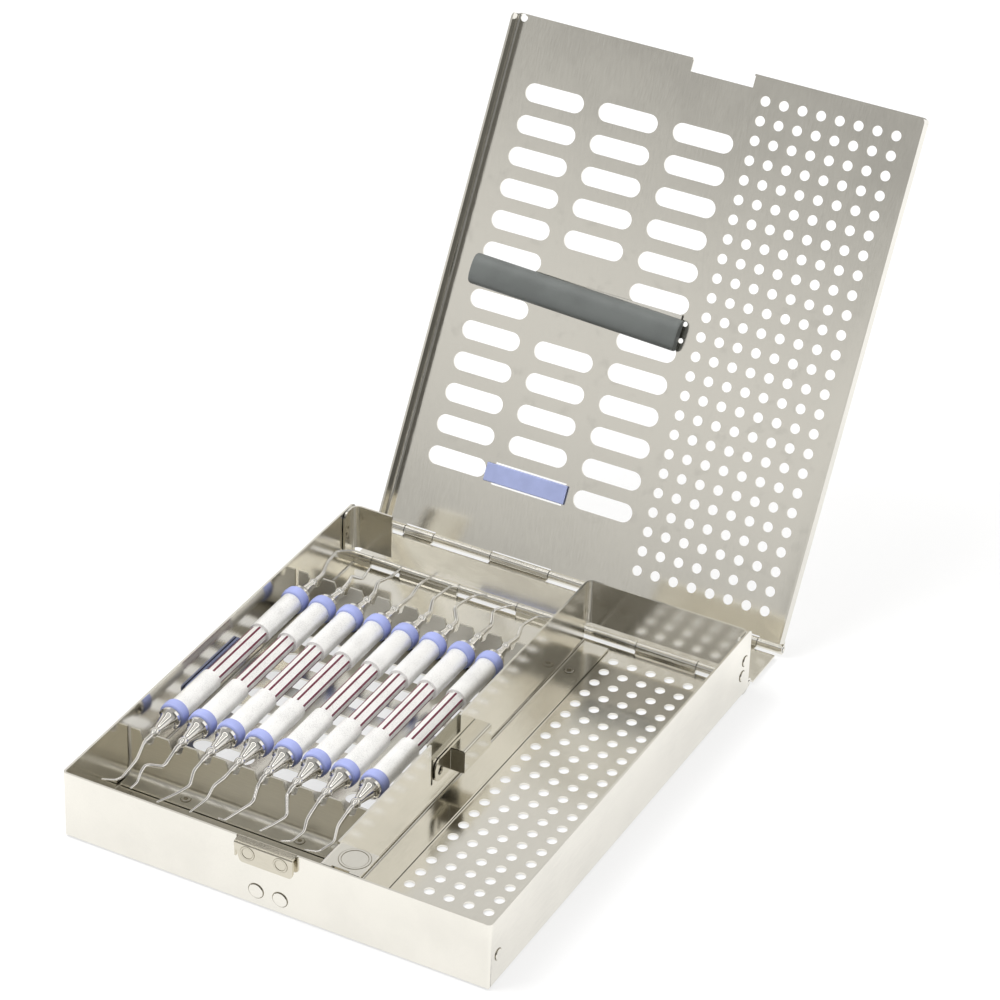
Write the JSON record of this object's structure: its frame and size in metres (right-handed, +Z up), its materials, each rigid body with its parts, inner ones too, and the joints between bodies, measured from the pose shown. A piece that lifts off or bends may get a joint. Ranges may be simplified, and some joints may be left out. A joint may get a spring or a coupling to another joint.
{
  "type": "dental instrument cassette",
  "caption": "Perforated stainless steel dental instrument cassette, open, with hand instruments in notched racks, an accessory side, a spring latch and a hinged lid.",
  "frame": {"origin": "centre of the tray's flat underside", "axes": "+X to the accessory side, +Y from the latch to the hinge, +Z up"},
  "size_m": [0.1742, 0.3348, 0.1853],
  "materials": {
    "brushed_steel": "satin brushed stainless sheet",
    "spring_steel": "smooth rolled stainless strip and wire",
    "polished_steel": "polished instrument steel",
    "blue_silicone": "matt periwinkle silicone",
    "blue_plastic": "matt periwinkle plastic",
    "grey_silicone": "matt grey silicone"
  },
  "bodies": {
    "tray": {"tray_pan": "brushed_steel", "left_corner_bracket": "brushed_steel", "divider": "brushed_steel", "divider_clip": "spring_steel", "front_rack": "brushed_steel", "rear_rack": "brushed_steel", "wall_id_strip": "blue_plastic", "lower_hinge_pin": "spring_steel"},
    "latch": {"latch_leaf": "spring_steel"},
    "spine": {"spine_flap": "brushed_steel", "upper_hinge_pin": "spring_steel"},
    "cover": {"lid": "brushed_steel", "hold_down_bar": "grey_silicone", "bar_carrier": "spring_steel", "lid_id_strip": "blue_plastic"},
    "hand_instrument_1": {"instrument_1": "polished_steel", "ring_front_1": "blue_silicone", "ring_rear_1": "blue_silicone"},
    "hand_instrument_2": {"instrument_2": "polished_steel", "ring_front_2": "blue_silicone", "ring_rear_2": "blue_silicone"},
    "hand_instrument_3": {"instrument_3": "polished_steel", "ring_front_3": "blue_silicone", "ring_rear_3": "blue_silicone"},
    "hand_instrument_4": {"instrument_4": "polished_steel", "ring_front_4": "blue_silicone", "ring_rear_4": "blue_silicone"},
    "hand_instrument_5": {"instrument_5": "polished_steel", "ring_front_5": "blue_silicone", "ring_rear_5": "blue_silicone"},
    "hand_instrument_6": {"instrument_6": "polished_steel", "ring_front_6": "blue_silicone", "ring_rear_6": "blue_silicone"},
    "hand_instrument_7": {"instrument_7": "polished_steel", "ring_front_7": "blue_silicone", "ring_rear_7": "blue_silicone"},
    "hand_instrument_8": {"instrument_8": "polished_steel", "ring_front_8": "blue_silicone", "ring_rear_8": "blue_silicone"}
  },
  "joints": [
    {"name": "spine_hinge", "type": "hinge", "parent": "tray", "child": "spine", "pos_m": [0, 0.1025, 0.0029], "axis": [1, 0, 0], "range_deg": [0, 90]},
    {"name": "lid_hinge", "type": "hinge", "parent": "spine", "child": "cover", "pos_m": [0, 0.1285, 0.0029], "axis": [1, 0, 0], "range_deg": [-60.29, 29.71]},
    {"name": "latch_flex", "type": "hinge", "parent": "tray", "child": "latch", "pos_m": [0, -0.1002, 0.0068], "axis": [1, 0, 0], "range_deg": [-2.5, 0], "stiffness_Nm_per_rad": 0.05},
    {"name": "lift_out_1", "type": "slide", "parent": "tray", "child": "hand_instrument_1", "axis": [0, 0, -1], "range_m": [-0.06, 0]},
    {"name": "lift_out_2", "type": "slide", "parent": "tray", "child": "hand_instrument_2", "axis": [0, 0, -1], "range_m": [-0.06, 0]},
    {"name": "lift_out_3", "type": "slide", "parent": "tray", "child": "hand_instrument_3", "axis": [0, 0, -1], "range_m": [-0.06, 0]},
    {"name": "lift_out_4", "type": "slide", "parent": "tray", "child": "hand_instrument_4", "axis": [0, 0, -1], "range_m": [-0.06, 0]},
    {"name": "lift_out_5", "type": "slide", "parent": "tray", "child": "hand_instrument_5", "axis": [0, 0, -1], "range_m": [-0.06, 0]},
    {"name": "lift_out_6", "type": "slide", "parent": "tray", "child": "hand_instrument_6", "axis": [0, 0, -1], "range_m": [-0.06, 0]},
    {"name": "lift_out_7", "type": "slide", "parent": "tray", "child": "hand_instrument_7", "axis": [0, 0, -1], "range_m": [-0.06, 0]},
    {"name": "lift_out_8", "type": "slide", "parent": "tray", "child": "hand_instrument_8", "axis": [0, 0, -1], "range_m": [-0.06, 0]}
  ]
}
